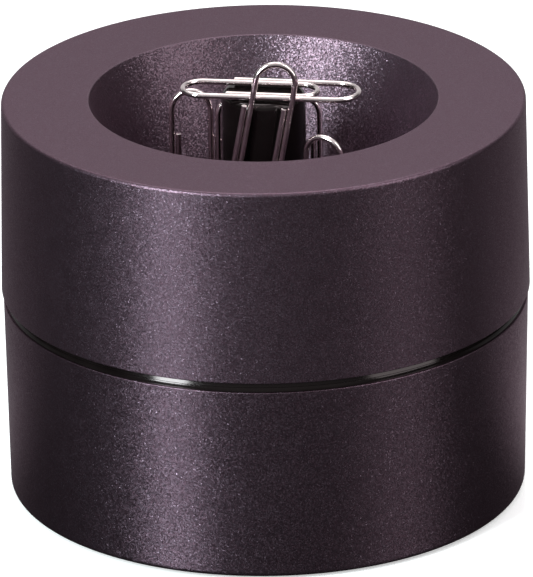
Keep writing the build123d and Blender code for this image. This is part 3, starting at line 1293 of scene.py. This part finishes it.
@dataclass
class PaperClips:
    """The loose wire clips on and around the post."""

    shop: Workshop
    length: float = 0.0250
    width: float = 0.0071
    wire: float = 0.0008
    leg_pitch: float = 0.0009
    inner_set_back: float = 0.0057
    inner_leg_short: float = 0.0066
    outer_leg_short: float = 0.0070
    hold_gap: float = 0.0002
    end_taper: float = 0.00009
    sides: int = 20
    bend_steps: int = 28
    leg_steps: int = 10
    flat_offset: tuple[float, float] = (0.00105, -0.00145)
    flat_turn: float = 7.6
    front_offset: float = -0.00046
    front_drop: float = 0.0057
    front_lean: float = 10.2
    left_offset: float = -0.00955
    left_lift: float = 0.0006
    back_offset: float = -0.00312
    right_offset: float = 0.00455
    leaning_foot: tuple[float, float] = (0.0065, -0.0079)
    leaning_lean: float = 5.0
    leaning_heading: float = -48.6
    leaning_turn: float = -28.0

    def build(self) -> None:
        """Make one wire for each clip."""
        path = self.path()
        for place in self.places():
            self.lay(place, path)

    def leg(self, across: float, start: float, end: float) -> list[Vector]:
        """Straight leg of the wire, with short first and last steps for its cut ends.

        Args:
            across: Place across the clip.
            start: Height of its start.
            end: Height of its end.

        Returns:
            The points of the leg.
        """
        way = 1 if end > start else -1
        first, last = start + way * self.end_taper, end - way * self.end_taper
        run = last - first
        heights = [first + run * step / self.leg_steps for step in range(self.leg_steps + 1)]
        return [Vector((across, 0.0, height)) for height in [start, *heights, end]]

    def bend(self, start: float, end: float, height: float, way: int) -> list[Vector]:
        """Half circle from one leg to the next, without its two end points.

        Args:
            start: Place across of the leg that it leaves.
            end: Place across of the leg that it meets.
            height: Height of both end points.
            way: 1 to bulge up, -1 to bulge down.

        Returns:
            The points between the legs.
        """
        middle, reach = (start + end) / 2, (start - end) / 2
        bulge = way * abs(reach)
        turns = [pi * step / self.bend_steps for step in range(1, self.bend_steps)]
        return [Vector((middle + reach * cos(turn), 0.0, height + bulge * sin(turn))) for turn in turns]

    def path(self) -> list[Vector]:
        """Middle line of the wire about the clip's own middle, single bend up.

        Returns:
            The points of the line, from one cut end to the other.
        """
        top = self.length / 2 - self.wire / 2
        outer = (self.width - self.wire) / 2
        inner = outer - self.leg_pitch
        single_bend = top - (outer + inner) / 2
        outer_bend = outer - top
        inner_bend = self.inner_set_back + inner - top
        return [
            *self.leg(inner, self.length / 2 - self.inner_leg_short, inner_bend),
            *self.bend(inner, -inner, inner_bend, -1),
            *self.leg(-inner, inner_bend, single_bend),
            *self.bend(-inner, outer, single_bend, 1),
            *self.leg(outer, single_bend, outer_bend),
            *self.bend(outer, -outer, outer_bend, -1),
            *self.leg(-outer, outer_bend, self.length / 2 - self.outer_leg_short),
        ]

    def places(self) -> list[ClipPlace]:
        """Resting place of every clip.

        Returns:
            One place for each clip.
        """
        size = self.shop.sizes
        beside = size.post_diameter / 2 + self.wire / 2 + self.hold_gap
        stand = size.bowl_floor_height + self.hold_gap + self.length / 2
        flat = size.post_top_height + self.hold_gap + self.wire / 2
        turn, lean = radians(self.flat_turn), radians(self.front_lean)
        out, tilt = radians(self.leaning_heading), radians(self.leaning_lean)
        side = radians(self.leaning_turn)
        up, left, right = Vector((0, 0, 1)), Vector((-1, 0, 0)), Vector((1, 0, 0))
        way = Vector((sin(tilt) * cos(out), sin(tilt) * sin(out), cos(tilt)))
        foot_rise = (self.width - self.wire) / 2 * sin(tilt)
        foot = Vector((*self.leaning_foot, size.bowl_floor_height + self.hold_gap + foot_rise))
        return [
            ClipPlace(
                "clip_across_top",
                "top_clip",
                Vector((*self.flat_offset, flat)),
                Vector((-sin(turn), -cos(turn), 0)),
                Vector((-cos(turn), sin(turn), 0)),
            ),
            ClipPlace(
                "clip_front",
                "front_clip",
                Vector((self.front_offset, -beside, size.post_top_height - self.front_drop)),
                Vector((cos(lean), 0, -sin(lean))),
                Vector((sin(lean), 0, cos(lean))),
            ),
            ClipPlace(
                "clip_left",
                "left_clip",
                Vector((self.left_offset, beside + self.wire + self.hold_gap, stand + self.left_lift)),
                left,
                up,
            ),
            ClipPlace(
                "clip_back_left",
                "back_left_clip",
                Vector((self.back_offset, beside, stand)),
                left,
                up,
            ),
            ClipPlace(
                "clip_back_right",
                "back_right_clip",
                Vector((self.right_offset, beside, stand)),
                right,
                up,
            ),
            ClipPlace(
                "clip_leaning",
                "leaning_clip",
                foot + way * (self.length / 2),
                Vector((cos(side), sin(side), 0)),
                way,
            ),
        ]

    def lay(self, place: ClipPlace, path: list[Vector]) -> None:
        """Run the wire along the path at a clip's place.

        Args:
            place: Where the clip rests.
            path: Middle line of the wire about the clip's own middle.
        """
        depth = place.bend_way.cross(place.leg_side).normalized()
        leg_side = depth.cross(place.bend_way)
        points = [place.middle + leg_side * point.x + place.bend_way * point.z for point in path]
        values = {
            "Wire Radius": self.wire / 2,
            "Sides": self.sides,
            "End Taper": self.end_taper,
            "Finish": self.shop.finishes[Slot.CLIP_STEEL],
        }
        name, trees = place.node + "_wire", self.shop.trees
        wire = trees.make(name, trees.wire_tree, chain_mesh(name + "_path", points), values)
        self.shop.deliver(wire, place.node, place.body, Slot.CLIP_STEEL)


@dataclass
class HiddenPieces:
    """Pieces inside the casing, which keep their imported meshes."""

    shop: Workshop

    def build(self) -> None:
        """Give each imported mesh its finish."""
        slots = {
            "rod_magnet": Slot.MAGNET,
            "magnet_retainer": Slot.INNER_PLASTIC,
            "retainer_screws": Slot.SCREW_STEEL,
            "base_weight": Slot.BASE_STEEL,
            "weight_screws": Slot.SCREW_STEEL,
            "casing_screws": Slot.SCREW_STEEL,
        }
        for node, slot in slots.items():
            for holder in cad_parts[node].material_slots:
                holder.link = "OBJECT"
                holder.material = self.shop.finishes[slot]
            LOG.info("%s keeps its packed mesh, with the finish of %s", node, slot.value)


@dataclass(frozen=True)
class SoftBox:
    """A flat studio light that faces the holder: angles in degrees, sizes in metres."""

    name: str
    heading: float
    elevation: float
    distance: float
    width: float
    height: float
    radiance: float
    tint: tuple[float, float, float] = (1.0, 1.0, 1.0)

    def hang(self, target: Vector) -> None:
        """Place the light about a target, heading degrees to the right of the camera's side.

        Args:
            target: The point that the light faces.
        """
        turn, rise = radians(self.heading), radians(self.elevation)
        way = Vector((sin(turn) * cos(rise), -cos(turn) * cos(rise), sin(rise)))
        lamp = bpy.data.lights.new(self.name, "AREA")
        lamp.shape = "RECTANGLE"
        lamp.size = self.width
        lamp.size_y = self.height
        lamp.energy = self.radiance * pi * self.width * self.height
        lamp.color = self.tint
        box = bpy.data.objects.new(self.name, lamp)
        box.location = target + way * self.distance
        box.rotation_euler = way.to_track_quat("Z", "Y").to_euler()
        box.visible_camera = False
        bpy.context.scene.collection.objects.link(box)


@dataclass
class Studio:
    """White sweep, pale floor and soft lights."""

    floor_reach: float = 3.0
    floor_grey: Colour = (0.02, 0.02, 0.02, 1.0)
    floor_white: Colour = (0.86, 0.86, 0.86, 1.0)
    floor_lift: float = 0.45
    floor_roughness: float = 0.15
    floor_ior: float = 1.7
    # Painted pool of light behind the holder and painted shade close around it, which the floor shows in
    # mirrors only.
    painted_pool_start: tuple[float, float] = (-0.005, 0.025)
    painted_pool_reach: tuple[float, float] = (0.05, 0.10)
    painted_pool_level: tuple[float, float] = (0.42, 0.13)
    painted_pool_width: tuple[float, float] = (-0.04, 0.04)
    painted_pool_side: tuple[float, float] = (0.45, 1.0)
    # Painted shade on the floor near the holder, as its reflections show it.
    painted_shade_reach: tuple[float, float] = (0.05, 0.15)
    painted_shade_levels: tuple[float, float] = (0.0, 0.06)
    painted_shade_side_reach: tuple[float, float] = (0.03, 0.09)
    painted_shade_side_fade: tuple[float, float] = (1.0, 0.35)
    painted_shade_right_fade: tuple[float, float] = (1.0, 0.2)
    front_limits: tuple[float, float] = (-0.85, -0.45)
    front_level: float = 0.28
    side_level: float = 0.04
    back_limits: tuple[float, float] = (0.45, 0.90)
    back_level: float = 0.62
    sky_limits: tuple[float, float] = (0.40, 0.75)
    sky_level: float = 0.75
    camera_level: float = 1.0
    target_height: float = 0.03

    def build(self) -> None:
        """Make the floor, the sweep and the lights."""
        self.floor()
        self.sweep()
        target = Vector((0, 0, self.target_height))
        for box in self.lights():
            box.hang(target)

    def lights(self) -> list[SoftBox]:
        """Key light at the front left, weak panel at the front right and a soft box overhead.

        Returns:
            The lights to hang.
        """
        return [
            SoftBox(
                "key_box",
                heading=-41.5,
                elevation=24.0,
                distance=0.60,
                width=0.14,
                height=0.38,
                radiance=28.5,
                tint=(0.94, 1.09, 1.10),
            ),
            SoftBox(
                "right_panel",
                heading=61.0,
                elevation=31.0,
                distance=0.60,
                width=0.33,
                height=0.60,
                radiance=2.8,
            ),
            SoftBox(
                "top_box",
                heading=180.0,
                elevation=66.0,
                distance=0.70,
                width=0.50,
                height=0.45,
                radiance=2.8,
            ),
        ]

    def floor(self) -> None:
        """Flat sheet of pale paper under the holder."""
        reach = self.floor_reach
        corners = [(-reach, -reach, 0), (reach, -reach, 0), (reach, reach, 0), (-reach, reach, 0)]
        mesh = bpy.data.meshes.new("floor")
        mesh.from_pydata(corners, [], [(0, 1, 2, 3)])
        mesh.materials.append(self.floor_paper())
        floor = bpy.data.objects.new("floor", mesh)
        bpy.context.scene.collection.objects.link(floor)

    def floor_paper(self) -> bpy.types.Material:
        """Satin paper, dark to the lamps' bounce and lifted to white for the camera; in mirrors it shows
        a painted pool of light and painted shade, partly as glow.

        Returns:
            The finished material.
        """
        material = bpy.data.materials.new("floor_paper")
        material.use_nodes = True
        sheet = NodeSheet(material.node_tree)
        sheet.tree.nodes.clear()
        rays = sheet.place("ShaderNodeLightPath").outputs
        # Mirrors see the floor whiter and glowing by a painted pool of light behind the holder and
        # painted shade near it.
        mirrored = sheet.reckon("MAXIMUM", rays[Ray.GLOSSY.value], rays[Ray.TRANSMISSION.value])
        mirrored = sheet.reckon("MULTIPLY", mirrored, self.painted_pool_and_shade(sheet))
        seen = sheet.reckon("MAXIMUM", rays[Ray.CAMERA.value], mirrored)
        shader = sheet.place(
            "ShaderNodeBsdfPrincipled",
            {
                "Base Color": sheet.mixed(seen, self.floor_grey, self.floor_white),
                "Roughness": self.floor_roughness,
                "IOR": self.floor_ior,
                "Emission Color": WHITE,
                "Emission Strength": sheet.reckon("MULTIPLY", seen, self.floor_lift),
            },
        )
        sheet.place("ShaderNodeOutputMaterial", {"Surface": shader.outputs[0]})
        return material

    def painted_pool_and_shade(self, sheet: NodeSheet) -> bpy.types.NodeSocket:
        """How white the floor is in a mirror: a painted pool of light behind the holder, and painted
        shade close around it that lifts faintly further out.

        Args:
            sheet: The floor's material under construction.

        Returns:
            Socket with the share, from zero to one.
        """
        where = sheet.place("ShaderNodeTexCoord").outputs["Object"]
        spot = sheet.place("ShaderNodeSeparateXYZ", {0: where}).outputs
        away = sheet.place("ShaderNodeVectorMath", {0: where}, operation="LENGTH").outputs["Value"]
        aside = sheet.reckon("ABSOLUTE", spot["X"])
        # Painted pool of light on the floor behind the holder, fading with distance and towards the
        # sides.
        behind = sheet.ramp(spot["Y"], *self.painted_pool_start, 0.0, 1.0)
        # Painted shade: the floor stays dark close to the holder and lifts faintly further out, less at
        # the sides and least to the right.
        around = sheet.ramp(away, *self.painted_shade_reach, *self.painted_shade_levels)
        for fade in (
            sheet.ramp(away, *self.painted_pool_reach, *self.painted_pool_level),
            sheet.ramp(spot["X"], *self.painted_pool_width, *self.painted_pool_side),
        ):
            behind = sheet.reckon("MULTIPLY", behind, fade)
        for fade in (
            sheet.ramp(aside, *self.painted_shade_side_reach, *self.painted_shade_side_fade),
            sheet.ramp(spot["X"], *self.painted_shade_side_reach, *self.painted_shade_right_fade),
        ):
            around = sheet.reckon("MULTIPLY", around, fade)
        return sheet.reckon("MAXIMUM", behind, around)

    def sweep(self) -> None:
        """World that is pale behind and above the holder, dim at its sides, and white to the camera."""
        world = bpy.data.worlds.new("studio_sweep")
        world.use_nodes = True
        bpy.context.scene.world = world
        sheet = NodeSheet(world.node_tree)
        sheet.tree.nodes.clear()
        coords = sheet.place("ShaderNodeTexCoord").outputs["Generated"]
        way = sheet.place("ShaderNodeSeparateXYZ", {0: coords}).outputs
        back = sheet.ramp(way["Y"], *self.back_limits, self.side_level, self.back_level)
        front = sheet.ramp(way["Y"], *self.front_limits, self.front_level, self.side_level)
        sky = sheet.ramp(way["Z"], *self.sky_limits, 0.0, self.sky_level)
        level = sheet.reckon("MAXIMUM", sheet.reckon("MAXIMUM", back, front), sky)
        seen = sheet.place("ShaderNodeLightPath").outputs[Ray.CAMERA.value]
        strength = sheet.ramp(seen, 0.0, 1.0, level, self.camera_level)
        shade = sheet.place("ShaderNodeBackground", {"Color": WHITE, "Strength": strength})
        sheet.place("ShaderNodeOutputWorld", {"Surface": shade.outputs[0]})
        bpy.context.scene.view_settings.view_transform = "Standard"


@dataclass(frozen=True)
class PhotoCamera:
    """Camera at the photograph's place: distance in metres, angles in degrees."""

    image_height: int = 577
    focal_pixels: float = 9971.5
    sensor: float = 36.0
    distance: float = 1.3895
    elevation: float = 23.426
    yaw: float = 0.0042
    pitch: float = -22.3752
    roll: float = -0.727
    lift: float = 0.0007
    clip_end: float = 20.0

    def place(self) -> None:
        """Make the camera and look through it."""
        lens = bpy.data.cameras.new("photo_camera")
        lens.sensor_width = self.sensor
        lens.lens = self.focal_pixels * self.sensor / self.image_height
        lens.clip_end = self.clip_end
        rise, yaw, pitch = radians(self.elevation), radians(self.yaw), radians(self.pitch)
        ahead = Vector((sin(yaw) * cos(pitch), cos(yaw) * cos(pitch), sin(pitch)))
        level = ahead.cross(Vector((0, 0, 1))).normalized()
        upright = level.cross(ahead)
        roll = radians(self.roll)
        right = level * cos(roll) + upright * sin(roll)
        up = upright * cos(roll) - level * sin(roll)
        eye = Vector((0, -cos(rise), sin(rise))) * self.distance + Vector((0, 0, self.lift))
        turn = Matrix((right, up, -ahead)).transposed()
        camera = bpy.data.objects.new("photo_camera", lens)
        camera.matrix_world = Matrix.Translation(eye) @ turn.to_4x4()
        bpy.context.scene.collection.objects.link(camera)
        bpy.context.scene.camera = camera


def main() -> None:
    """Build the holder, its clips, the studio and the camera."""
    logging.basicConfig(level=logging.INFO, format="%(message)s")
    shop = Workshop()
    shop.mix_finishes()
    Casing(shop).build()
    MagnetPost(shop).build()
    FootPad(shop).build()
    PaperClips(shop).build()
    HiddenPieces(shop).build()
    Studio().build()
    PhotoCamera().place()


if __name__ == "__main__":
    main()
